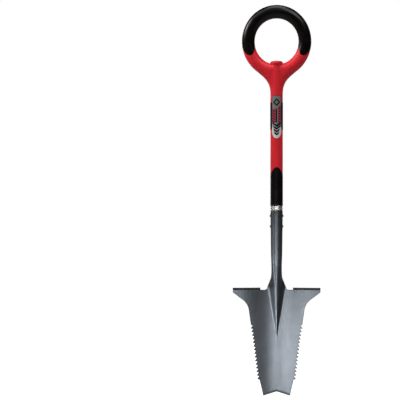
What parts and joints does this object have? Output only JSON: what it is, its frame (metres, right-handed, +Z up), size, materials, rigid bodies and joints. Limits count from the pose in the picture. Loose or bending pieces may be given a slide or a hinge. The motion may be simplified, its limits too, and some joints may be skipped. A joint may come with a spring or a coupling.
{
  "type": "garden spade",
  "caption": "Long-handled digging spade with a ring grip: narrow pressed steel blade with sawtooth sides, V-notched point and folded foot steps.",
  "frame": {"origin": "on the ground plane of the blade's two points, under the middle of the whole spade's depth and width", "axes": "+Z up the shaft to the ring, +X across the blade to the right as seen from the front, -Y out of the hollow front face of the blade"},
  "size_m": [0.2536, 0.0565, 1.1303],
  "materials": {
    "coated_steel": "satin blue-grey powder coat on pressed carbon steel",
    "tread_rubber": "matt black non-slip cap",
    "rivet_steel": "dulled zinc",
    "tube_steel": "plain drawn steel",
    "collar_chrome": "bright plated",
    "red_plastic": "satin moulded",
    "grip_rubber": "soft matt overmould",
    "label_dark": "printed film",
    "label_grey": "printed film"
  },
  "bodies": {
    "root": {"blade": "coated_steel", "left_foot_tread": "tread_rubber", "right_foot_tread": "tread_rubber", "upper_rivet": "rivet_steel", "lower_rivet": "rivet_steel", "shaft_tube": "tube_steel", "anchor_pin": "tube_steel", "collar": "collar_chrome", "handle_body": "red_plastic", "end_cap": "red_plastic", "ring_grip": "grip_rubber", "shaft_grip": "grip_rubber", "label_wrap": "label_dark", "label_panel": "label_grey"}
  },
  "joints": []
}
